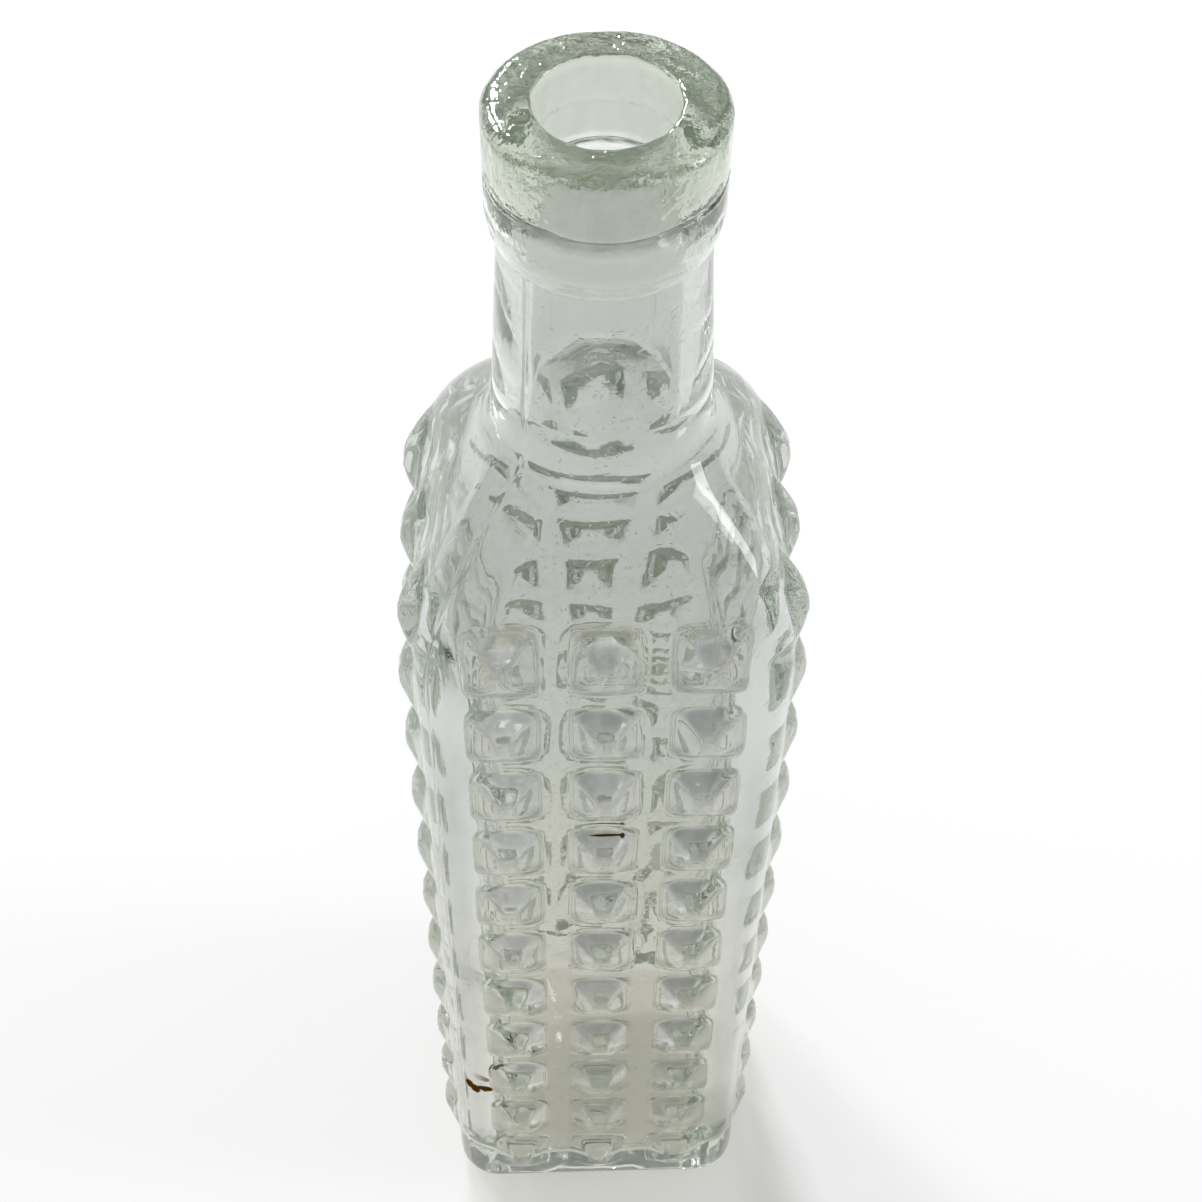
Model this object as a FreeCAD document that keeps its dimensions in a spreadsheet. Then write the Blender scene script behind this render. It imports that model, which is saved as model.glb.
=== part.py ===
import FreeCAD, Part
import math
import os
import Sketcher

doc = FreeCAD.newDocument("studded_bottle")

# Driving sizes in millimetres, with the counts of the stud pattern
SIZES = {
    "face_width": (53.8, "between opposite flat sides, without the studs"),
    "corner_radius": (7.5, "upright corners of the square body"),
    "heel_radius": (4, "outside edge of the base"),
    "dish_diameter": (34, "hollow under the base"),
    "dish_depth": (1.2, "hollow under the base"),
    "shoulder_height": (158, "where the sides begin to lean in"),
    "shoulder_radius": (41, "arc of the shoulder, seen from the side"),
    "neck_flare": (1.75, "how far the neck has spread at its foot"),
    "neck_taper": (31, "how far above the shoulder the neck begins to spread"),
    "neck_foot_depth": (4, "how far the neck's foot reaches into the shoulder"),
    "neck_end_height": (228, "where the neck was cut from the blowpipe"),
    "wall": (3.5, "sides and shoulder"),
    "base_thickness": (7, "glass under the hollow"),
    "cavity_corner": (12, "upright corners of the hollow, where blown glass is thickest"),
    "cavity_heel": (3, "bottom edge of the hollow"),
    "neck_bore": (19.2, "inside of the neck"),
    "stud_rows": (11, "studs one above another"),
    "stud_columns": (3, "studs side by side on each face"),
    "row_pitch": (15.25, "from stud to stud, upwards"),
    "column_pitch": (14.5, "from stud to stud, across"),
    "lowest_stud": (14, "height of the lowest row's points"),
    "stud_width": (10.3, "foot of a stud, across"),
    "stud_length": (12.3, "foot of a stud, upwards"),
    "stud_height": (2.6, "how far the points stand out"),
    "stud_tip": (1.6, "flat on the point of a stud"),
    "lip_diameter": (30, "outside of the lip"),
    "lip_wrap": (1.3, "glass laid round the outside of the neck"),
    "lip_bore": (18, "mouth, which takes the cork"),
    "lip_above_neck": (12, "glass laid on over the neck's cut end"),
    "lip_skirt": (6.6, "glass laid on down the outside of the neck"),
    "lip_edge": (1.8, "rounding of the top's outside edge"),
    "mouth_edge": (1.5, "rounding of the mouth"),
    "band_height": (9, "upper band, from the top to the crease"),
    "crease_depth": (0.4, "crease between the band and the ring below it"),
    "ring_height": (5, "straight part of the ring below the crease"),
    "skirt_edge": (0.4, "thickness of the lip's lower edge on the neck"),
}
sheet = doc.addObject("Spreadsheet::Sheet", "Sizes")
for row, (alias, (number, meaning)) in enumerate(SIZES.items(), start=1):
    sheet.set(f"A{row}", meaning)
    sheet.set(f"B{row}", str(number))
    sheet.setAlias(f"B{row}", alias)
doc.recompute()

# Formulas that several pieces share
HALF_WIDTH = "Sizes.face_width / 2"
NECK_RADIUS = "(Sizes.lip_diameter / 2 - Sizes.lip_wrap)"
MOUTH_HEIGHT = "Sizes.neck_end_height + Sizes.lip_above_neck"

# Plain facts of the form: a square has four sides, and a round piece is spun right round
SQUARE_SIDES = 4
FULL_TURN = 360
# Edges that lie this near a height, in millimetres, are at that height
SAME_HEIGHT = 0.001


def value(formula):
    """The number that a formula of the sheet's sizes has now."""
    return float(sheet.evalExpression(formula))


def plane_of(body, role):
    """The body's own plane or axis with that role."""
    return next(feature for feature in body.Origin.OriginFeatures if feature.Role == role)


def sketch_on(body, role, name, lift="0"):
    """An empty sketch on one of the body's planes, lifted off it by a formula."""
    sketch = body.newObject("Sketcher::SketchObject", name)
    sketch.AttachmentSupport = [(plane_of(body, role), "")]
    sketch.MapMode = "FlatFace"
    sketch.setExpression("AttachmentOffset.Base.z", lift)
    return sketch


def bind(sketch, constraint, name, formula):
    """Add a constraint under a name, and tie its size to the formula."""
    index = sketch.addConstraint(constraint)
    sketch.renameConstraint(index, name)
    sketch.setExpression(f"Constraints.{name}", formula)


def arc_between(start, end, radius, turn):
    """The minor arc from start to end; turn is 1 anticlockwise and -1 clockwise."""
    chord = end - start
    across = FreeCAD.Vector(-chord.y, chord.x, 0).normalize() * turn
    height = math.sqrt(max(radius ** 2 - (chord.Length / 2) ** 2, 0))
    centre = (start + end) / 2 + across * height
    first, last = (start, end) if turn > 0 else (end, start)
    angles = [math.atan2(point.y - centre.y, point.x - centre.x) for point in (first, last)]
    circle = Part.Circle(centre, FreeCAD.Vector(0, 0, 1), radius)
    return Part.ArcOfCircle(circle, angles[0], angles[1])


def outline(sketch, corners, prefix="p"):
    """A closed outline. A corner is (x, y), or (x, y, radius, turn) where an arc leads to the next corner."""
    points = [FreeCAD.Vector(value(corner[0]), value(corner[1]), 0) for corner in corners]
    starts, ends = [], []
    for number, corner in enumerate(corners):
        here, there = points[number], points[(number + 1) % len(points)]
        if len(corner) == 2:
            edge = sketch.addGeometry(Part.LineSegment(here, there))
            starts.append((edge, 1))
            ends.append((edge, 2))
        else:
            radius, turn = corner[2:]
            edge = sketch.addGeometry(arc_between(here, there, value(radius), turn))
            starts.append((edge, 1 if turn > 0 else 2))
            ends.append((edge, 2 if turn > 0 else 1))
            bind(sketch, Sketcher.Constraint("Radius", edge, value(radius)), f"{prefix}{number}r", radius)
    for number, corner in enumerate(corners):
        sketch.addConstraint(Sketcher.Constraint("Coincident", *ends[number - 1], *starts[number]))
        for axis, formula in zip("XY", corner):
            size = value(formula)
            if formula == "0":
                axis_line = -2 if axis == "X" else -1
                sketch.addConstraint(Sketcher.Constraint("PointOnObject", *starts[number], axis_line))
            else:
                rule = Sketcher.Constraint(f"Distance{axis}", -1, 1, *starts[number], size)
                bind(sketch, rule, f"{prefix}{number}{axis.lower()}", formula)


def rounded_square(half, corner):
    """Corners of a square of that half width, with its four corners rounded."""
    flat = f"({half} - {corner})"
    return [
        (half, f"-{flat}"), (half, flat, corner, 1),
        (flat, half), (f"-{flat}", half, corner, 1),
        (f"-({half})", flat), (f"-({half})", f"-{flat}", corner, 1),
        (f"-{flat}", f"-({half})"), (flat, f"-({half})", corner, 1),
    ]


def padded(body, sketch, name, length):
    """The sketch raised to a length."""
    pad = body.newObject("PartDesign::Pad", name)
    pad.Profile = sketch
    pad.setExpression("Length", length)
    return pad


def turned(body, kind, sketch, name):
    """The sketch spun once about the bottle's axis: a Revolution adds glass and a Groove takes it away."""
    feature = body.newObject(f"PartDesign::{kind}", name)
    feature.Profile = sketch
    feature.ReferenceAxis = (sketch, ["V_Axis"])
    feature.Angle = FULL_TURN
    return feature


def shoulder_at(reach, inset="0"):
    """Height at which the shoulder's arc, moved in by inset, has come in to that half width."""
    return (f"(Sizes.shoulder_height + sqrt((Sizes.shoulder_radius - {inset})^2"
            f" - (Sizes.shoulder_radius - {HALF_WIDTH} + {reach})^2))")


def square_to_neck(name, inset, corner, heel, bottom, neck_radius, neck_top):
    """A square block whose shoulder leans in on four sides to a round neck.

    Both faces of the glass have this form: inset is 0 outside and the wall's thickness inside.
    The shoulder's crown is a square whose corners end half a wall inside the neck's face.
    """
    body = doc.addObject("PartDesign::Body", name)
    half = f"({HALF_WIDTH} - {inset})"
    arc = f"(Sizes.shoulder_radius - {inset})"
    crown = f"(({neck_radius} - Sizes.wall / 2) / sqrt(2))"
    crown_height = shoulder_at(crown, inset)

    section = sketch_on(body, "XY_Plane", f"{name}_section", bottom)
    outline(section, rounded_square(half, corner))
    block = padded(body, section, f"{name}_block", f"{crown_height} - {bottom}")
    doc.recompute()
    lowest = value(bottom)
    rim = [f"Edge{number}" for number, edge in enumerate(block.Shape.Edges, start=1)
           if edge.BoundBox.ZMax < lowest + SAME_HEIGHT]
    rounding = body.newObject("PartDesign::Fillet", f"{name}_heel")
    rounding.Base = (block, rim)
    rounding.setExpression("Radius", heel)

    for role in ("XZ_Plane", "YZ_Plane"):
        leaning = sketch_on(body, role, f"{name}_lean_{role[:2]}")
        for side, turn, prefix in (("", 1, "right"), ("-", -1, "left")):
            outline(leaning, [
                (f"{side}{half}", "Sizes.shoulder_height", arc, turn),
                (f"{side}{crown}", crown_height),
                (f"{side}{crown}", f"{crown_height} + Sizes.wall"),
                (f"{side}({half} + Sizes.wall)", f"{crown_height} + Sizes.wall"),
                (f"{side}({half} + Sizes.wall)", "Sizes.shoulder_height"),
            ], prefix)
        cut = body.newObject("PartDesign::Pocket", f"{name}_shoulder_{role[:2]}")
        cut.Profile = leaning
        cut.SideType = "Symmetric"
        cut.setExpression("Length", "2 * Sizes.face_width")

    ring = sketch_on(body, "XY_Plane", f"{name}_neck_ring", bottom)
    circle = Part.Circle(FreeCAD.Vector(), FreeCAD.Vector(0, 0, 1), value(neck_radius))
    edge = ring.addGeometry(circle)
    ring.addConstraint(Sketcher.Constraint("Coincident", edge, 3, -1, 1))
    bind(ring, Sketcher.Constraint("Radius", edge, value(neck_radius)), "neck", neck_radius)
    padded(body, ring, f"{name}_neck", f"{neck_top} - {bottom}")
    return body


def add_neck_taper(body):
    """The neck spreads a little on its way down, as a steep cone whose foot ends inside the shoulder."""
    meeting = shoulder_at(NECK_RADIUS)
    low = f"{meeting} - Sizes.neck_foot_depth"
    high = f"{meeting} + Sizes.neck_taper"
    profile = sketch_on(body, "XZ_Plane", "neck_taper_profile")
    outline(profile, [
        ("0", low),
        (f"{NECK_RADIUS} + Sizes.neck_flare", low),
        (NECK_RADIUS, high),
        ("0", high),
    ])
    turned(body, "Revolution", profile, "neck_cone")


def add_dish(body):
    """A shallow hollow under the base, so that the bottle stands on the edge round it."""
    radius = "Sizes.dish_diameter / 2"
    ball = f"(({radius})^2 + Sizes.dish_depth^2) / (2 * Sizes.dish_depth)"
    profile = sketch_on(body, "XZ_Plane", "dish_profile")
    outline(profile, [
        ("0", "0"),
        (radius, "0", ball, 1),
        ("0", "Sizes.dish_depth"),
    ])
    turned(body, "Groove", profile, "dish")


def add_studs(body):
    """Blunt four-sided points in rows and columns on all four faces, with roots that reach into the wall."""
    first_column = "-(Sizes.stud_columns - 1) * Sizes.column_pitch / 2"
    root = body.newObject("PartDesign::AdditiveBox", "stud_root")
    root.setExpression("Length", "Sizes.stud_width")
    root.setExpression("Width", "Sizes.wall")
    root.setExpression("Height", "Sizes.stud_length")
    root.setExpression("Placement.Base.x", f"{first_column} - Sizes.stud_width / 2")
    root.setExpression("Placement.Base.y", f"{HALF_WIDTH} - Sizes.wall")
    root.setExpression("Placement.Base.z", "Sizes.lowest_stud - Sizes.stud_length / 2")

    point = body.newObject("PartDesign::AdditiveWedge", "stud_point")
    point.Ymin = 0
    for axis, foot in (("X", "Sizes.stud_width"), ("Z", "Sizes.stud_length")):
        point.setExpression(f"{axis}min", f"-{foot} / 2")
        point.setExpression(f"{axis}max", f"{foot} / 2")
        point.setExpression(f"{axis}2min", "-Sizes.stud_tip / 2")
        point.setExpression(f"{axis}2max", "Sizes.stud_tip / 2")
    point.setExpression("Ymax", "Sizes.stud_height")
    point.setExpression("Placement.Base.x", first_column)
    point.setExpression("Placement.Base.y", HALF_WIDTH)
    point.setExpression("Placement.Base.z", "Sizes.lowest_stud")
    doc.recompute()

    pattern = body.newObject("PartDesign::MultiTransform", "studs")
    pattern.Originals = [root, point]
    grid = body.newObject("PartDesign::LinearPattern", "stud_grid")
    grid.Direction = (plane_of(body, "X_Axis"), [""])
    grid.Mode = "Spacing"
    grid.setExpression("Offset", "Sizes.column_pitch")
    grid.setExpression("Occurrences", "Sizes.stud_columns")
    grid.Direction2 = (plane_of(body, "Z_Axis"), [""])
    grid.Mode2 = "Spacing"
    grid.setExpression("Offset2", "Sizes.row_pitch")
    grid.setExpression("Occurrences2", "Sizes.stud_rows")
    faces = body.newObject("PartDesign::PolarPattern", "stud_faces")
    faces.Axis = (plane_of(body, "Z_Axis"), [""])
    faces.Angle = FULL_TURN
    faces.Occurrences = SQUARE_SIDES
    pattern.Transformations = [grid, faces]
    body.Tip = pattern


def make_blown_body():
    """The mould-blown body: studded square sides, shoulder and neck, hollow inside."""
    outside = square_to_neck("outside", "0", "Sizes.corner_radius", "Sizes.heel_radius", "0",
                             NECK_RADIUS, "Sizes.neck_end_height")
    add_neck_taper(outside)
    add_dish(outside)
    add_studs(outside)
    hollow = square_to_neck("hollow", "Sizes.wall", "Sizes.cavity_corner", "Sizes.cavity_heel",
                            "Sizes.base_thickness", "Sizes.neck_bore / 2",
                            "(Sizes.neck_end_height + Sizes.wall)")
    blown = doc.addObject("Part::Cut", "blown_body")
    blown.Base = outside
    blown.Tool = hollow
    return blown


def make_applied_lip():
    """The ring laid round the neck's cut end: it sits on the end face and wraps the outside below it."""
    body = doc.addObject("PartDesign::Body", "applied_lip")
    lip = "Sizes.lip_diameter / 2"
    bore = "Sizes.lip_bore / 2"
    crease = f"{MOUTH_HEIGHT} - Sizes.band_height"
    skirt_bottom = "Sizes.neck_end_height - Sizes.lip_skirt"
    skirt_radius = f"{NECK_RADIUS} + Sizes.skirt_edge"
    profile = sketch_on(body, "XZ_Plane", "lip_profile")
    outline(profile, [
        (bore, "Sizes.neck_end_height"),
        (NECK_RADIUS, "Sizes.neck_end_height"),
        (NECK_RADIUS, skirt_bottom),
        (skirt_radius, skirt_bottom),
        (lip, f"{crease} - Sizes.ring_height"),
        (lip, f"{crease} - Sizes.crease_depth"),
        (f"{lip} - Sizes.crease_depth", crease),
        (lip, f"{crease} + Sizes.crease_depth"),
        (lip, f"{MOUTH_HEIGHT} - Sizes.lip_edge", "Sizes.lip_edge", 1),
        (f"{lip} - Sizes.lip_edge", MOUTH_HEIGHT),
        (f"{bore} + Sizes.mouth_edge", MOUTH_HEIGHT, "Sizes.mouth_edge", 1),
        (bore, f"{MOUTH_HEIGHT} - Sizes.mouth_edge"),
    ])
    turned(body, "Revolution", profile, "lip_ring")
    return body


pieces = [make_blown_body(), make_applied_lip()]
doc.recompute()

# Every feature has to stand, and every piece has to be one sound solid
for item in doc.Objects:
    if "Invalid" in item.State or "Error" in item.State:
        raise RuntimeError(f"{item.Name} failed: {item.State}")
for piece in pieces:
    if piece.Shape.isNull() or not piece.Shape.isValid() or len(piece.Shape.Solids) != 1:
        raise RuntimeError(f"{piece.Label} isn't one sound solid")

os.makedirs("parts", exist_ok=True)
for piece in pieces:
    piece.Shape.exportStep(f"parts/{piece.Label}.step")
    box = piece.Shape.BoundBox
    print(f"{piece.Label}: {piece.Shape.Volume / 1000:.1f} cm3,"
          f" {box.XLength:.1f} x {box.YLength:.1f} x {box.ZLength:.1f} mm")
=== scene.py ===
import math

import bpy
import numpy as np
from mathutils import Matrix, Vector


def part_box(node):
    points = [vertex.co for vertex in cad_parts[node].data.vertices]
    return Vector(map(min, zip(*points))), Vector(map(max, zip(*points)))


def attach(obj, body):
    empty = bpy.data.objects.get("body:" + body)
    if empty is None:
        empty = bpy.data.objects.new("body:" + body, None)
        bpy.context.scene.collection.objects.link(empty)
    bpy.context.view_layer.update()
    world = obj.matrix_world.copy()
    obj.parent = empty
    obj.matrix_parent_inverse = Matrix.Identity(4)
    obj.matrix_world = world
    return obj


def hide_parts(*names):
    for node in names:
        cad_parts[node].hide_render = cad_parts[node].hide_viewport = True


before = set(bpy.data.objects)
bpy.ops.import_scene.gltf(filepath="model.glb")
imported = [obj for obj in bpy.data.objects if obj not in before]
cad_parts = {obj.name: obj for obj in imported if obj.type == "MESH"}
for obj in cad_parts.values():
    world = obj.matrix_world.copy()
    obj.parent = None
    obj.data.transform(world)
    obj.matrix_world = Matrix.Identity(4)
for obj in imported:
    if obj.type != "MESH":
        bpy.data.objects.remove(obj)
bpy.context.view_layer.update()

# The blown body: base, studded sides, shoulder and neck in one gather of clear old soda glass.
# It was blown into a square mould that parted on a diagonal, so a fine seam runs up two corners and the neck.
# The outside took the mould's studs and then softened; the inside is free-blown, smooth and wavy.
MM = 0.001
FACE_HALF = 26.9 * MM
CORNER = 7.5 * MM
HEEL = 4 * MM
DISH_RADIUS = 17 * MM
DISH_DEPTH = 1.2 * MM
SHOULDER_START = 158 * MM
SHOULDER_ARC = 41 * MM
NECK_FILLET = 5 * MM
NECK_RADIUS = 13.7 * MM
NECK_FOOT = 187 * MM
NECK_TAPER_TOP = 218 * MM
NECK_TAPER_RATE = 0.05
NECK_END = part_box("blown_body")[1].z
LIP_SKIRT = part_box("applied_lip")[0].z
LIP_BORE = 8.8 * MM
LEAST_HALF = 1 * MM
LARGEST_CORNER_SHARE = 0.9

WALL = 3.5 * MM
FLOOR_THICKNESS = 7 * MM
FLOOR_CROWN = 1.2 * MM
NECK_BORE = 9.6 * MM
CAVITY_CORNER = 8.5 * MM
CAVITY_HEEL = 6 * MM
CAVITY_THROAT = 12 * MM
CAVITY_SHOULDER = 164 * MM
CAVITY_ARC = 31 * MM
CAVITY_LEVELS = np.concatenate([np.linspace(NECK_END - 2 * MM, 196 * MM, 12),
                                np.linspace(194 * MM, 150 * MM, 26), np.linspace(146 * MM, 20 * MM, 22)])
# Waves in the glass: height, how many go round, and how far they lean for each metre up
WALL_WAVES = [(0.22 * MM, 2, 0.07 / MM), (0.16 * MM, 3, -0.11 / MM), (0.1 * MM, 5, 0.31 / MM)]
WAVES_SETTLE = 30 * MM
# The neck's broken end: height, how many go round, and start angle
RAGGED_WAVES = [(0.2 * MM, 4, 1), (0.15 * MM, 9, 2), (0.12 * MM, 19, 0)]
RAGGED_DEPTH = 0.45 * MM
RAGGED_LEAST = 0.02 * MM
RAGGED_DROP = 0.3 * MM
RAGGED_SHARES = np.array([0, 1, 0.8])

STUD_ROWS = 11
STUD_COLUMNS = 3
OUTER_COLUMN = (STUD_COLUMNS - 1) / 2
ROW_PITCH = 15.25 * MM
COLUMN_PITCH = 14.5 * MM
LOWEST_STUD = 14 * MM
STUD_HALF_WIDTH = 5.15 * MM
STUD_HALF_LENGTH = 6 * MM
STUD_TOP_HALF = 0.8 * MM
STUD_POINT = 2.9 * MM
STUD_HOLLOW = 0.1
STUD_TIP = 0.02
STUD_TIP_ROUNDING = 0.1
STUD_FILLET = 0.1
STUD_RIDGES = 8
STUD_FOOT = 4
STUD_ARCH = 1.8
STUD_STEPS = np.array([0, 0.08, 0.2, 0.36, 0.52, 0.68, 0.84, 1.0, 1.12])
STUD_MIDDLE_SHIFT = 0.1 * MM

SEAM_ANGLE = math.radians(225)
SEAM_HEIGHT = 0.12 * MM
SEAM_WIDTH = 0.4 * MM

# Levels and turns of the mesh's lines between the studs
CORNER_TURNS = np.radians([12, 22, 30, 36, 40, 42.5, 45, 47.5, 50, 54, 60, 68, 78])
FIRST_RING = 5.2 * MM
SHOULDER_TOP = NECK_FOOT + 9 * MM
SHOULDER_RINGS = 30
NECK_RINGS = 12
JOINT_RING_GAP = 0.2 * MM
DISH_SHARES = np.array([0.2, 0.45, 0.7, 0.88, 1.0])
FLOOR_SHARES = np.array([0.75, 0.5, 0.28, 0.12])
HEEL_TURNS = np.radians(np.linspace(0, 90, 9))

# Painted shade on the studs' upper and lower flanks and on the corners, standing in for the darker floor seen
# through the glass
UPPER_FLANK_SHADE = 0.14
UPPER_FLANK_SHADE_SLOPES = (0.28, 0.42)
LOWER_FLANK_SHADE = 0.63
LOWER_FLANK_SHADE_START = (0.28, 0.4)
LOWER_FLANK_SHADE_END = (0.95, 1.08)
LOWER_FLANK_SHADE_DROP = (0.3, 0.55)
CORNER_SHADE = 0.35
CORNER_SHADE_END = 0.8
OTHER_SIDES_SHADE = 0.25
FRONT_SIDE = 1.5 * math.pi
SLOPE_STEP = 0.1 * MM


def smooth_max(first, second, blend):
    """The larger of two lengths, rounded where they cross.

    Where they differ by less than the blend, a quarter of the blend is added, times the square of the share
    of the blend that is left.
    """
    closeness = np.maximum(1 - abs(first - second) / blend, 0)
    return np.maximum(first, second) + blend / 4 * closeness ** 2


def soft_step(value, low, high):
    """0 below low and 1 above high, with a soft step between them."""
    share = np.clip((value - low) / (high - low), 0, 1)
    return share ** 2 * (3 - 2 * share)


def waves(angle, parts):
    """Sum of sine waves round the axis: each part has a height, a count and a start angle."""
    return sum(height * np.sin(count * angle + start) for height, count, start in parts)


def rounded_square(angle, half, corner):
    """Distance from the axis to a square with rounded corners, along each angle.

    Folded into an eighth of a turn, a ray meets the flat at half / cos, or else the corner's arc:
    the larger root of the quadratic for a circle about (half - corner, half - corner).
    """
    near = np.maximum(abs(np.cos(angle)), abs(np.sin(angle)))
    far = np.minimum(abs(np.cos(angle)), abs(np.sin(angle)))
    centre = half - corner
    along = centre * (near + far)
    arc = along + np.sqrt(np.maximum(along ** 2 - 2 * centre ** 2 + corner ** 2, 0))
    return np.where(half * far / near <= centre, half / near, arc)


def body_columns():
    """Angles of the body's upright lines: by the stud's steps on each side, closer at the corners' seams."""
    centres = (np.arange(STUD_COLUMNS) - OUTER_COLUMN) * COLUMN_PITCH
    half = STUD_TOP_HALF + STUD_STEPS * (STUD_HALF_WIDTH - STUD_TOP_HALF)
    studs = (centres[:, None] + np.concatenate([-half, half])).ravel()
    gaps = centres[:-1] + COLUMN_PITCH / 2
    face = np.arctan2(np.sort(np.concatenate([studs, gaps])), FACE_HALF)
    middle = FACE_HALF - CORNER
    turn = np.arctan2(middle + CORNER * np.sin(CORNER_TURNS), middle + CORNER * np.cos(CORNER_TURNS))
    quarter = np.concatenate([face, turn])
    return (np.arange(4)[:, None] * math.pi / 2 + quarter).ravel()


def body_heights():
    """Heights of the body's rings between the heel and the neck's end: by the same steps up each stud."""
    centres = LOWEST_STUD + np.arange(STUD_ROWS) * ROW_PITCH
    half = STUD_STEPS ** (1 / STUD_ARCH) * STUD_HALF_LENGTH
    studs = (centres[:, None] + np.concatenate([-half[1:], half])).ravel()
    gaps = centres[:-1] + ROW_PITCH / 2
    shoulder = np.linspace(studs.max(), SHOULDER_TOP, SHOULDER_RINGS)[1:]
    neck = np.linspace(SHOULDER_TOP, LIP_SKIRT, NECK_RINGS)[1:]
    under_lip = np.array([LIP_SKIRT + JOINT_RING_GAP, NECK_END - JOINT_RING_GAP, NECK_END])
    return np.sort(np.concatenate([[FIRST_RING], studs, gaps, shoulder, neck, under_lip]))


def shoulder_half(height, full, start, arc):
    """Half width of the square at each height: full up to the start, then drawn in along a circle's arc."""
    above = np.clip(height - start, 0, arc)
    return full - arc + np.sqrt(arc ** 2 - above ** 2)


def from_stud(across, up):
    """Offsets across and up from the centre of the nearest stud."""
    column = np.clip(np.round(across / COLUMN_PITCH), -OUTER_COLUMN, OUTER_COLUMN)
    row = np.clip(np.round((up - LOWEST_STUD) / ROW_PITCH), 0, STUD_ROWS - 1)
    return across - column * COLUMN_PITCH, up - LOWEST_STUD - row * ROW_PITCH


def stud_reach(across, up):
    """Distance from the nearest stud's centre, as a share of its foot.

    It goes from a high power norm, which has four ridges, to a lower one at the rounder foot. Across the face
    it starts at the ends of the short edge that stands for the point. Upwards it is a power, so it is arched.
    """
    sideways, upwards = from_stud(across, up)
    past_top = smooth_max(abs(sideways) - STUD_TOP_HALF, 0, STUD_TOP_HALF / 2)
    aside = past_top / (STUD_HALF_WIDTH - STUD_TOP_HALF)
    above = (abs(upwards) / STUD_HALF_LENGTH) ** STUD_ARCH
    ridged = (aside ** STUD_RIDGES + above ** STUD_RIDGES) ** (1 / STUD_RIDGES)
    round_foot = (aside ** STUD_FOOT + above ** STUD_FOOT) ** (1 / STUD_FOOT)
    return ridged + (round_foot - ridged) * np.minimum(ridged, 1) ** 2


def stud_height(across, up):
    """How far the studs stand out: flanks that fall to a softened foot, with a blunt tip.

    The flank is the share left of the way to the foot, a little of it squared to be steeper near the tip.
    """
    blunt = smooth_max(stud_reach(across, up), STUD_TIP, STUD_TIP_ROUNDING)
    left = smooth_max(1 - blunt, 0, STUD_FILLET)
    return STUD_POINT * left * (1 - STUD_HOLLOW + STUD_HOLLOW * left)


def painted_shade_share(across, up):
    """Where shade is painted: on the studs' upper flanks, more on their lower ones, and on the corners.

    An upper flank is where a stud falls away steeply upwards, short of the top row. A lower flank is a part
    of the stud's reach, below its centre. The corners are shaded up to the shoulder.
    """
    fall = stud_height(across, up - SLOPE_STEP) - stud_height(across, up + SLOPE_STEP)
    upper = soft_step(fall / (2 * SLOPE_STEP), *UPPER_FLANK_SHADE_SLOPES) * (up < SHOULDER_START)
    reach = stud_reach(across, up)
    below = -from_stud(across, up)[1] / STUD_HALF_LENGTH
    lower = soft_step(reach, *LOWER_FLANK_SHADE_START) * (1 - soft_step(reach, *LOWER_FLANK_SHADE_END))
    lower = lower * soft_step(below, *LOWER_FLANK_SHADE_DROP)
    corner = soft_step(abs(across), FACE_HALF - CORNER, FACE_HALF - CORNER / 2)
    corner = corner * (1 - soft_step(up, CORNER_SHADE_END * SHOULDER_START, SHOULDER_START))
    return UPPER_FLANK_SHADE * upper + LOWER_FLANK_SHADE * lower + CORNER_SHADE * corner


def outside_points(angle, height):
    """The outside above the heel: the larger of square and neck, with the studs and the seam added.

    The seam is a bell curve across two opposite corners. The studs are added along the normal of their face.
    """
    half = shoulder_half(height, FACE_HALF, SHOULDER_START, SHOULDER_ARC)[:, None]
    half = np.maximum(half, LEAST_HALF)
    square = rounded_square(angle, half, np.minimum(CORNER, half * LARGEST_CORNER_SHARE))
    neck = NECK_RADIUS + NECK_TAPER_RATE * np.maximum(NECK_TAPER_TOP - height, 0)[:, None]
    distance = smooth_max(square, neck, NECK_FILLET)
    from_seam = (angle - SEAM_ANGLE + math.pi / 2) % math.pi - math.pi / 2
    distance = distance + SEAM_HEIGHT * np.exp(-(distance * from_seam / SEAM_WIDTH) ** 2)
    side = np.round(angle / (math.pi / 2)) * math.pi / 2
    outward = distance * np.cos(angle - side)
    across = distance * np.sin(angle - side)
    outward = outward + stud_height(across, height[:, None])
    x = outward * np.cos(side) - across * np.sin(side)
    y = outward * np.sin(side) + across * np.cos(side)
    return np.stack([x, y, np.broadcast_to(height[:, None], x.shape)], axis=-1)


def ring_points(angle, distance, height):
    """Rings about the axis: each ring has a height, and a distance for each angle."""
    shape = np.broadcast_shapes(np.shape(distance), (len(height), len(angle)))
    distance = np.broadcast_to(distance, shape)
    level = np.broadcast_to(height[:, None], shape)
    return np.stack([distance * np.cos(angle), distance * np.sin(angle), level], axis=-1)


def underside_points(angle):
    """The base: a shallow round dish, the flat edge that it stands on, and the rounded heel."""
    bowl = ring_points(angle, DISH_SHARES[:, None] * DISH_RADIUS, DISH_DEPTH * (1 - DISH_SHARES ** 2))
    inset = HEEL * (1 - np.sin(HEEL_TURNS))
    heel = rounded_square(angle, (FACE_HALF - inset)[:, None], (CORNER - inset)[:, None])
    edge = ring_points(angle, heel, HEEL * (1 - np.cos(HEEL_TURNS)))
    return np.concatenate([bowl, edge])


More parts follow.
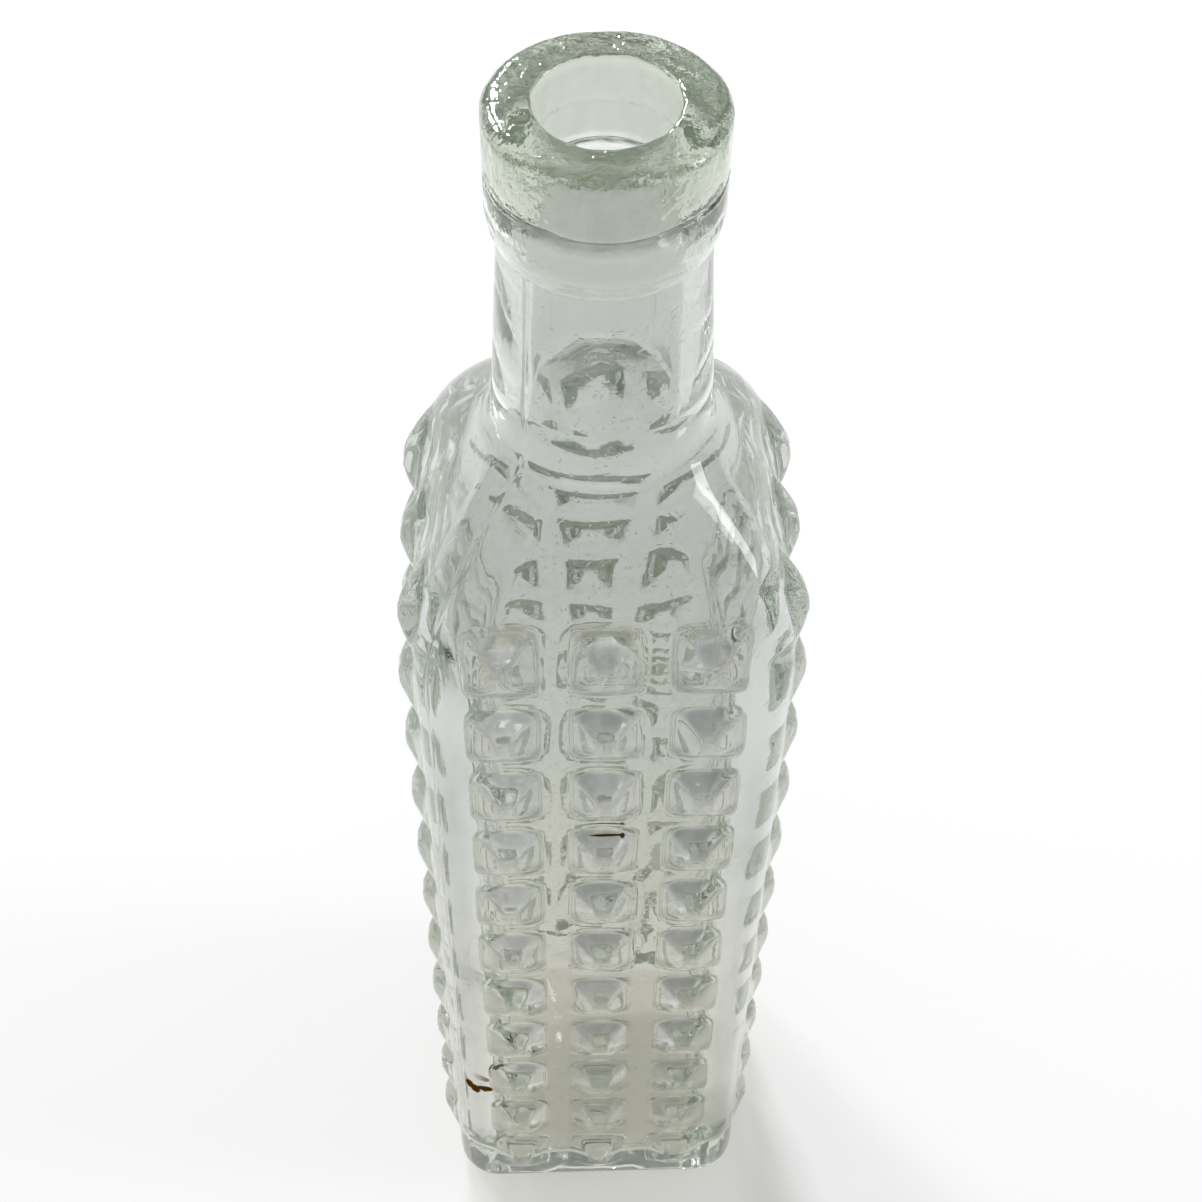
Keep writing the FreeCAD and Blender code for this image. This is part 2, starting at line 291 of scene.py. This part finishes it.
def inside_points(angle):
    """The hollow, from the neck's ragged end down: bore, drawn-out shoulder, wavy walls, heel and floor."""
    top = np.array([NECK_END, NECK_END, NECK_END - RAGGED_DROP])
    down = np.concatenate([top, CAVITY_LEVELS])
    half = shoulder_half(down, FACE_HALF - WALL, CAVITY_SHOULDER, CAVITY_ARC)[:, None]
    half = np.maximum(half, LEAST_HALF)
    square = rounded_square(angle, half, np.minimum(CAVITY_CORNER, half * LARGEST_CORNER_SHARE))
    wave = waves(angle, [(height, count, lean * down[:, None]) for height, count, lean in WALL_WAVES])
    settle = np.clip((NECK_END - down[:, None]) / WAVES_SETTLE, 0, 1)
    distance = smooth_max(square, NECK_BORE, CAVITY_THROAT) + wave * settle
    ragged = np.maximum(RAGGED_DEPTH + waves(angle, RAGGED_WAVES), RAGGED_LEAST)
    distance[:len(top)] = LIP_BORE - RAGGED_SHARES[:, None] * ragged
    walls = ring_points(angle, distance, down)
    inset = CAVITY_HEEL * (1 - np.cos(HEEL_TURNS))
    heel = rounded_square(angle, (FACE_HALF - WALL - inset)[:, None], (CAVITY_CORNER - inset)[:, None])
    bend = ring_points(angle, heel, FLOOR_THICKNESS + CAVITY_HEEL * (1 - np.sin(HEEL_TURNS)))
    edge = rounded_square(angle, FACE_HALF - WALL - CAVITY_HEEL, CAVITY_CORNER - CAVITY_HEEL)
    level = FLOOR_THICKNESS + FLOOR_CROWN * (1 - FLOOR_SHARES ** 2)
    return np.concatenate([walls, bend, ring_points(angle, edge * FLOOR_SHARES[:, None], level)])


def skin(name, points, poles=None, turned=None, fused=None):
    """A closed mesh over rings of points, each ring joined to the next and its last point to its first.

    With two poles the ends close as fans; without them the last ring joins the first. Where turned is true
    a square is split along its other diagonal. fused marks the faces that lie inside the glass at a joint.
    """
    rings, columns = points.shape[:2]
    number = np.arange(rings * columns).reshape(rings, columns)
    if poles is None:
        number = np.concatenate([number, number[:1]])
    beside = np.roll(number, -1, axis=1)
    squares = np.stack([number[:-1], beside[:-1], beside[1:], number[1:]], axis=-1)
    if turned is not None:
        squares = np.where(turned[..., None], np.roll(squares, 1, axis=-1), squares)
    faces = squares.reshape(-1, 4).tolist()
    corners = points.reshape(-1, 3)
    if poles is not None:
        first, last = rings * columns, rings * columns + 1
        faces += np.stack([beside[0], number[0], np.full(columns, first)], axis=-1).tolist()
        faces += np.stack([number[-1], beside[-1], np.full(columns, last)], axis=-1).tolist()
        corners = np.concatenate([corners, poles])
    mesh = bpy.data.meshes.new(name)
    mesh.from_pydata(corners.tolist(), [], faces)
    inside_joint = np.zeros(len(faces), np.float32)
    if fused is not None:
        inside_joint[:squares[..., 0].size] = fused.ravel()
    mesh.attributes.new("fused", "FLOAT", "FACE").data.foreach_set("value", inside_joint)
    mesh.shade_smooth()
    mesh.validate()
    piece = bpy.data.objects.new(name, mesh)
    bpy.context.scene.collection.objects.link(piece)
    return piece


class Shade:
    """A value that changes over a surface: one output of a material's nodes. Arithmetic adds Math nodes."""

    def __init__(self, tree, socket=None):
        self.tree = tree
        self.socket = socket

    def node(self, kind, settings=None, sockets=None, output=0):
        """Add a node: apply its settings, fill its sockets with values or links, and return one output."""
        made = self.tree.nodes.new(kind)
        for name, setting in (settings or {}).items():
            setattr(made, name, setting)
        for name, content in (sockets or {}).items():
            if isinstance(content, Shade):
                self.tree.links.new(content.socket, made.inputs[name])
            else:
                made.inputs[name].default_value = content
        return Shade(self.tree, made.outputs[output] if made.outputs else None)

    def maths(self, operation, first, second):
        return self.node("ShaderNodeMath", {"operation": operation}, {0: first, 1: second})

    def __add__(self, other):
        return self.maths("ADD", self, other)

    def __radd__(self, other):
        return self.maths("ADD", other, self)

    def __sub__(self, other):
        return self.maths("SUBTRACT", self, other)

    def __rsub__(self, other):
        return self.maths("SUBTRACT", other, self)

    def __mul__(self, other):
        return self.maths("MULTIPLY", self, other)

    def __abs__(self):
        return self.maths("ABSOLUTE", self, 0.0)

    def larger(self, other):
        return self.maths("MAXIMUM", self, other)

    def above(self, low, high):
        """0 below low and 1 above high, with a soft step between them."""
        return self.node("ShaderNodeMapRange", {"interpolation_type": "SMOOTHSTEP"},
                         {"Value": self, "From Min": low, "From Max": high})

    def noise(self, place, scale, detail=2.0):
        """Soft noise at a place, with that many waves to a metre."""
        return self.node("ShaderNodeTexNoise", None, {"Vector": place, "Scale": scale, "Detail": detail})

    def ellipse(self, other, centre, half):
        """Squared distance of two coordinates from a centre, each as a share of its own half length."""
        first = (self - centre[0]) * (1 / half[0])
        second = (other - centre[1]) * (1 / half[1])
        return first * first + second * second

    def ray(self, kind):
        """1 where the ray that meets the surface is of this kind."""
        return self.node("ShaderNodeLightPath", output=f"Is {kind} Ray")

    def attribute(self, name):
        """A number that the mesh carries."""
        return self.node("ShaderNodeAttribute", {"attribute_name": name}, output="Fac")

    def color(self, first, second):
        """A colour that goes from the first to the second as this value goes from 0 to 1."""
        return self.node("ShaderNodeMix", {"data_type": "RGBA"}, {0: self, 6: first, 7: second}, output=2)

    def surface(self, first, second):
        """A surface that goes from the first to the second as this value goes from 0 to 1."""
        return self.node("ShaderNodeMixShader", None, {0: self, 1: first, 2: second})


GLASS_IOR = 1.51
GLASS_DENSITY = 60.0
BODY_TINT = (0.7, 0.715, 0.695, 1)
BODY_ABSORPTION = (0.92, 0.94, 0.92, 1)
# Painted light: the glass is lighter and warmer towards the bottom, and lighter again in the base, standing
# in for the light gathered under the bottle
LOW_PAINTED_LIGHT_TINT = (0.81, 0.805, 0.735, 1)
LOW_FADE = (20 * MM, 160 * MM)
BASE_PAINTED_LIGHT_TINT = (0.92, 0.90, 0.87, 1)
BASE_FADE = (8 * MM, 20 * MM)
SHADOW_TINT = (0.74, 0.75, 0.74, 1)
# Painted shade and dirt: one dark colour, laid on in noise stretched upright: its stretch, scale, least share
# and spread
SHADE_AND_DIRT_TINT = (0.08, 0.082, 0.07, 1)
SHADE_AND_DIRT_STREAKS = (4, 4, 1)
SHADE_AND_DIRT_SCALE = 150.0
SHADE_AND_DIRT_LEAST = 0.4
SHADE_AND_DIRT_SPREAD = 1.1
WAVE_SCALE, WAVE_HEIGHT = 70.0, 0.12 * MM
RIPPLE_SCALE, RIPPLE_HEIGHT = 320.0, 0.012 * MM
TOOLING_SCALE = 800.0
GRAIN_SCALE, GRAIN_HEIGHT = 1700.0, 0.0008 * MM
PIT_SCALE, PIT_DEPTH, PIT_LEVELS = 1100.0, 0.012 * MM, (0.66, 0.74)
POLISH = 0.012
HAZE_SCALE, HAZE_LEVELS, HAZE_ROUGHNESS = 45.0, (0.45, 0.8), 0.02
WORN_SCALE, WORN_LEVELS, WORN_ROUGHNESS = 900.0, (0.4, 0.6), 0.25
WORN_FROM = (28.6 * MM, 29.6 * MM)
STAIN_COLOR = (0.11, 0.05, 0.004, 1)
STAIN_EDGE_SCALE, STAIN_EDGE_MIDDLE, STAIN_LEVELS = 1500.0, 0.4, (0.1, 0.5)
STAIN_FRONT = (-22 * MM, -20 * MM)
# Brown marks on the front: centre and half size of each ellipse, across and up
STAINS = [
    ((-23.7 * MM, 40.4 * MM), (0.8 * MM, 1.7 * MM)),
    ((-22.7 * MM, 39.4 * MM), (1.0 * MM, 1.7 * MM)),
    ((-20.9 * MM, 40.4 * MM), (1.6 * MM, 1.2 * MM)),
    ((0.3 * MM, 126 * MM), (2.8 * MM, 0.2 * MM)),
    ((2.8 * MM, 125.9 * MM), (0.4 * MM, 0.4 * MM)),
]


def old_glass(name, tint, absorption, tooling, dulled):
    """Clear old glass: tinted right through, softly wavy, worn dull on what stands out, with stains, dirt and
    painted shade; painted light makes it lighter towards the bottom.

    Lamps shine straight through it, dimmed, and faces inside a joint are not seen at all.
    """
    material = bpy.data.materials.new(name)
    material.use_nodes = True
    material.node_tree.nodes.clear()
    tree = Shade(material.node_tree)
    place = tree.node("ShaderNodeTexCoord", output="Object")
    x, y, z = (tree.node("ShaderNodeSeparateXYZ", None, {0: place}, output=axis) for axis in "XYZ")

    wave = tree.noise(place, WAVE_SCALE, 1.0) * WAVE_HEIGHT
    ripple = tree.noise(place, RIPPLE_SCALE) * (RIPPLE_HEIGHT + tooling)
    marks = tree.noise(place, TOOLING_SCALE) * tooling
    grain = tree.noise(place, GRAIN_SCALE) * GRAIN_HEIGHT
    pits = tree.noise(place, PIT_SCALE, 1.0).above(*PIT_LEVELS) * PIT_DEPTH
    height = wave + (ripple + marks) + grain - pits
    relief = tree.node("ShaderNodeBump", None, {"Strength": 1.0, "Distance": 1.0, "Height": height})
    worn = abs(x).larger(abs(y)).above(*WORN_FROM) * tree.noise(place, WORN_SCALE, 3.0).above(*WORN_LEVELS)
    haze = tree.noise(place, HAZE_SCALE, 3.0).above(*HAZE_LEVELS)

    streaks = tree.node("ShaderNodeVectorMath", {"operation": "MULTIPLY"}, {0: place, 1: SHADE_AND_DIRT_STREAKS})
    # Painted shade and dirt darken the colour, in upright streaks
    shade_and_dirt = tree.attribute("shade_and_dirt") * (SHADE_AND_DIRT_LEAST + tree.noise(streaks, SHADE_AND_DIRT_SCALE) * SHADE_AND_DIRT_SPREAD)
    above_base = z.above(*BASE_FADE)
    # Painted light: lighter and warmer towards the bottom, lightest in the base
    tint_with_painted_light = above_base.color(BASE_PAINTED_LIGHT_TINT, z.above(*LOW_FADE).color(LOW_PAINTED_LIGHT_TINT, tint))
    glass = tree.node("ShaderNodeBsdfPrincipled", None, {
        "Base Color": shade_and_dirt.color(tint_with_painted_light, SHADE_AND_DIRT_TINT), "IOR": GLASS_IOR, "Transmission Weight": 1.0,
        "Roughness": POLISH + dulled + haze * HAZE_ROUGHNESS + worn * WORN_ROUGHNESS, "Normal": relief})

    stain = 1.0 - x.ellipse(z, *STAINS[0])
    for centre, half in STAINS[1:]:
        stain = stain.larger(1.0 - x.ellipse(z, centre, half))
    ragged_edge = tree.noise(place, STAIN_EDGE_SCALE) - STAIN_EDGE_MIDDLE
    stain = (stain + ragged_edge).above(*STAIN_LEVELS) * (1.0 - y.above(*STAIN_FRONT))
    dirty = stain.surface(glass, tree.node("ShaderNodeBsdfDiffuse", None, {"Color": STAIN_COLOR}))

    # The base's painted-light colour also lets more lamp light through the base
    through_base = tree.node("ShaderNodeBsdfTransparent", None, {"Color": BASE_PAINTED_LIGHT_TINT})
    through_walls = tree.node("ShaderNodeBsdfTransparent", None, {"Color": SHADOW_TINT})
    lamplight = tree.ray("Shadow").larger(tree.ray("Diffuse"))
    lit = lamplight.surface(dirty, above_base.surface(through_base, through_walls))
    whole = tree.attribute("fused").surface(lit, tree.node("ShaderNodeBsdfTransparent"))
    depth = tree.node("ShaderNodeVolumeAbsorption", None, {"Color": absorption, "Density": GLASS_DENSITY})
    tree.node("ShaderNodeOutputMaterial", None, {"Surface": whole, "Volume": depth})
    return material


columns = body_columns()
heights = body_heights()
outside = outside_points(columns, heights)
underside = underside_points(columns)
inside = inside_points(columns)
inner_start = len(underside) + len(outside)
body_points = np.concatenate([underside, outside, inside])
body_poles = np.array([[0, 0, DISH_DEPTH], [0, 0, FLOOR_THICKNESS + FLOOR_CROWN]])
ring_level = (body_points[:-1, :, 2] + body_points[1:, :, 2]) / 2
outer_rings = np.arange(len(body_points) - 1)[:, None] < inner_start
in_joint = outer_rings & (ring_level > LIP_SKIRT)
side = np.round(columns / (math.pi / 2)) * math.pi / 2
across = FACE_HALF * np.tan(columns - side)
rightwards = from_stud(across, LOWEST_STUD)[0] + STUD_MIDDLE_SHIFT
stud_row = LOWEST_STUD + np.round((ring_level - LOWEST_STUD) / ROW_PITCH) * ROW_PITCH
body = skin("blown_body_glass", body_points, body_poles, rightwards * (ring_level - stud_row) < 0, in_joint)

# Painted shade on the studs' flanks and the corners: full on the front, weaker on the other sides
shade_and_dirt = np.zeros(body_points.shape[:2], np.float32)
front = np.isclose(side, FRONT_SIDE)
shade_and_dirt[len(underside):inner_start] = painted_shade_share(across, heights[:, None]) * np.where(front, 1, OTHER_SIDES_SHADE)
# The neck's broken end holds dirt
shade_and_dirt[inner_start + 1:inner_start + len(RAGGED_SHARES)] = 1
shade_and_dirt = np.concatenate([shade_and_dirt.ravel(), np.zeros(len(body_poles), np.float32)])
body.data.attributes.new("shade_and_dirt", "FLOAT", "POINT").data.foreach_set("value", shade_and_dirt)
body.data.materials.append(old_glass("body_glass", BODY_TINT, BODY_ABSORPTION, 0.0, 0.0))
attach(body, "root")
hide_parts("blown_body")

# The laid-on lip: a ring of the same glass, wound hot round the neck's end and pressed with a tool
# into an upper band and a tapered ring below it. It is thicker than the rest, so it looks greener.
LIP_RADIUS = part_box("applied_lip")[1].x
LIP_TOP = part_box("applied_lip")[1].z
LIP_EDGE = 1.9 * MM
MOUTH_EDGE = 0.6 * MM
TAPER_START = 226 * MM
TAPER_POWER = 1.6
CREASE = LIP_TOP - 9 * MM
CREASE_DEPTH = 0.5 * MM
CREASE_HALF = 0.35 * MM
CREASE_SIDES = np.radians([222, 318])
CREASE_SPREAD = math.radians(24)
CREASE_LEAST = 0.25
FUSE_GAP = 0.02 * MM
SKIRT_RISE = 0.1 * MM
LIP_COLUMNS = 192
LIP_EDGE_RINGS = 8
BORE_RINGS = 9
TOP_RINGS = 4
DOWN_RINGS = 63
UNTOOLED_RINGS = 8
# The tool's unevenness, sideways and on the top: height, how many go round, and start angle
SQUEEZE_WAVES = [(0.07 * MM, 3, 1), (0.05 * MM, 7, 0), (0.03 * MM, 17, 2)]
DENT_WAVES = [(0.1 * MM, 2, 0.6), (0.05 * MM, 5, 2), (0.03 * MM, 11, 0)]
DENT_DROP = 0.05 * MM
DENT_START = 2.5 * MM
DENT_FULL = 0.5 * MM
# Painted shade along the crease: its half height; and how much the bore is darkened
CREASE_SHADE_HALF = 0.55 * MM
BORE_DARKENING = 0.25
LIP_TINT = (0.635, 0.655, 0.612, 1)
LIP_ABSORPTION = (0.855, 0.905, 0.815, 1)
LIP_TOOLING = 0.12 * MM
LIP_DULLED = 0.03


def lip_profile():
    """The lip's section as (radius, height) points, and where its joint with the neck starts.

    It goes up the bore, over the mouth's edge, the top and the rim, down the band and the ring that tapers
    by a power of its height, and back along the joint.
    """
    turn = np.radians(np.linspace(90, 0, LIP_EDGE_RINGS))
    mouth = np.stack([LIP_BORE + MOUTH_EDGE - MOUTH_EDGE * np.cos(turn[::-1]),
                      LIP_TOP - MOUTH_EDGE + MOUTH_EDGE * np.sin(turn[::-1])], axis=1)
    rim = np.stack([LIP_RADIUS - LIP_EDGE + LIP_EDGE * np.cos(turn),
                    LIP_TOP - LIP_EDGE + LIP_EDGE * np.sin(turn)], axis=1)
    bore_levels = np.linspace(NECK_END, LIP_TOP - MOUTH_EDGE, BORE_RINGS + 1)[:-1]
    bore = np.stack([np.full(BORE_RINGS, LIP_BORE), bore_levels], axis=1)
    across_top = np.linspace(mouth[-1, 0], rim[0, 0], TOP_RINGS + 2)[1:-1]
    top = np.stack([across_top, np.full(TOP_RINGS, LIP_TOP)], axis=1)
    down = np.linspace(rim[-1, 1], LIP_SKIRT, DOWN_RINGS + 1)[1:]
    taper = np.clip((TAPER_START - down) / (TAPER_START - LIP_SKIRT), 0, 1)
    seat = NECK_RADIUS + SEAM_HEIGHT + FUSE_GAP
    skirt = seat + FUSE_GAP
    outer = np.stack([LIP_RADIUS - (LIP_RADIUS - skirt) * taper ** TAPER_POWER, down], axis=1)
    shelf = NECK_END + FUSE_GAP
    joint = np.array([[seat, LIP_SKIRT + SKIRT_RISE], [seat, shelf], [NECK_BORE, shelf]])
    free = np.concatenate([bore, mouth, top, rim, outer])
    return np.concatenate([free, joint]), len(free) - 1


profile, joint_start = lip_profile()
spin = np.linspace(0, 2 * math.pi, LIP_COLUMNS, endpoint=False)
ring_number = np.arange(len(profile))
tooled = (ring_number >= BORE_RINGS) & (ring_number < joint_start - UNTOOLED_RINGS)
pinch = np.exp(-((spin[:, None] - CREASE_SIDES) / CREASE_SPREAD) ** 2).sum(axis=1)
crease = np.exp(-((profile[:, 1] - CREASE) / CREASE_HALF) ** 2) * (profile[:, 0] > NECK_RADIUS) * tooled
lip_distance = (profile[:, :1] + tooled[:, None] * waves(spin, SQUEEZE_WAVES)
                - CREASE_DEPTH * crease[:, None] * (CREASE_LEAST + pinch))
lip_points = ring_points(spin, lip_distance, profile[:, 1])
topmost = np.clip((profile[:, 1] - LIP_TOP + DENT_START) / (DENT_START - DENT_FULL), 0, 1) * tooled
lip_points[..., 2] += topmost[:, None] * (waves(spin, DENT_WAVES) - DENT_DROP)
lip_joint = np.zeros((len(profile), len(spin)), bool)
lip_joint[joint_start:] = True
lip = skin("applied_lip_glass", lip_points[::-1], fused=np.roll(lip_joint[::-1], -1, axis=0))
# Painted shade along the crease, strongest at the pinched sides; the bore is darkened a little
crease_shade = np.exp(-((profile[:, 1] - CREASE + CREASE_HALF) / CREASE_SHADE_HALF) ** 2) * tooled
lip_darkening = crease_shade[:, None] * pinch + BORE_DARKENING * (ring_number < BORE_RINGS)[:, None]
lip_darkening = np.ascontiguousarray(lip_darkening[::-1], np.float32).ravel()
lip.data.attributes.new("shade_and_dirt", "FLOAT", "POINT").data.foreach_set("value", lip_darkening)
lip.data.materials.append(old_glass("lip_glass", LIP_TINT, LIP_ABSORPTION, LIP_TOOLING, LIP_DULLED))
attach(lip, "root")
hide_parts("applied_lip")

# The table: a plain matt white surface, flat under the bottle, that takes its soft shadow.
FLOOR_HALF = 3.0
FLOOR_DROP = 0.2 * MM
FLOOR_COLOR = (0.85, 0.85, 0.85, 1)
FLOOR_GLOW = 0.1


def white_table():
    """Matt white, with a little added glow where it is seen directly, or in or through the glass."""
    material = bpy.data.materials.new("white_table")
    material.use_nodes = True
    material.node_tree.nodes.clear()
    tree = Shade(material.node_tree)
    seen = tree.ray("Camera").larger(tree.ray("Glossy")).larger(tree.ray("Transmission"))
    matt = tree.node("ShaderNodeBsdfDiffuse", None, {"Color": FLOOR_COLOR})
    glow = tree.node("ShaderNodeEmission", None, {"Color": (1, 1, 1, 1), "Strength": FLOOR_GLOW})
    brightened = tree.node("ShaderNodeAddShader", None, {0: matt, 1: glow})
    tree.node("ShaderNodeOutputMaterial", None, {"Surface": seen.surface(matt, brightened)})
    return material


floor_mesh = bpy.data.meshes.new("table_top")
floor_corners = [(-1, -1), (1, -1), (1, 1), (-1, 1)]
floor_mesh.from_pydata([(x * FLOOR_HALF, y * FLOOR_HALF, -FLOOR_DROP) for x, y in floor_corners],
                       [], [(0, 1, 2, 3)])
floor_mesh.materials.append(white_table())
floor = bpy.data.objects.new("table_top", floor_mesh)
bpy.context.scene.collection.objects.link(floor)

# The light: an even soft room, two soft windows behind the bottle that throw its shadow towards the camera,
# and a weak one at the right.
ROOM_LIGHT = 0.36
BOTTLE_MIDDLE = (0, 0, 0.12)
world = bpy.data.worlds.new("soft_room")
world.use_nodes = True
world.node_tree.nodes.clear()
room = Shade(world.node_tree)
walls = room.node("ShaderNodeBackground", None, {"Strength": ROOM_LIGHT})
room.node("ShaderNodeOutputWorld", None, {"Surface": walls})
bpy.context.scene.world = world


def soft_lamp(name, place, width, height, power):
    """A rectangular lamp at a place, turned to the bottle's middle."""
    lamp = bpy.data.lights.new(name, "AREA")
    lamp.shape = "RECTANGLE"
    lamp.size = width
    lamp.size_y = height
    lamp.energy = power
    thing = bpy.data.objects.new(name, lamp)
    thing.location = place
    thing.rotation_euler = (Vector(BOTTLE_MIDDLE) - Vector(place)).to_track_quat("-Z", "Y").to_euler()
    bpy.context.scene.collection.objects.link(thing)


soft_lamp("back_window", (-0.5, 2.1, 1.55), width=0.4, height=0.4, power=58.0)
soft_lamp("left_window", (-1.4, 1.75, 1.5), width=0.4, height=0.4, power=24.0)
soft_lamp("right_window", (1.2, -0.1, 0.6), width=0.3, height=0.6, power=4.0)

# The camera: fitted to the outlines of lip, neck, shoulder, studs and base, for a square picture.
PICTURE_WIDTH = 1202
FOCAL_PIXELS = 2018.87
SENSOR_WIDTH = 36
NEAREST_SEEN = 0.01
CAMERA_PLACE = Vector((0.25, -194.01, 383.93)) * MM
CAMERA_PITCH = math.radians(50.53)
CAMERA_ROLL = math.radians(0.86)
BOTTLE_TURN = math.radians(2.55)
LIGHT_BOUNCES = 24
camera_data = bpy.data.cameras.new("camera")
camera_data.sensor_width = SENSOR_WIDTH
camera_data.lens = SENSOR_WIDTH * FOCAL_PIXELS / PICTURE_WIDTH
camera_data.clip_start = NEAREST_SEEN
camera = bpy.data.objects.new("camera", camera_data)
around = Matrix.Rotation(-BOTTLE_TURN, 4, "Z")
tilt = Matrix.Rotation(math.pi / 2 - CAMERA_PITCH, 4, "X") @ Matrix.Rotation(CAMERA_ROLL, 4, "Z")
camera.matrix_world = around @ Matrix.Translation(CAMERA_PLACE) @ tilt
bpy.context.scene.collection.objects.link(camera)
bpy.context.scene.camera = camera
bpy.context.scene.view_settings.view_transform = "Standard"
bpy.context.scene.cycles.max_bounces = LIGHT_BOUNCES
bpy.context.scene.cycles.glossy_bounces = LIGHT_BOUNCES
bpy.context.scene.cycles.transmission_bounces = LIGHT_BOUNCES
bpy.context.scene.cycles.transparent_max_bounces = LIGHT_BOUNCES
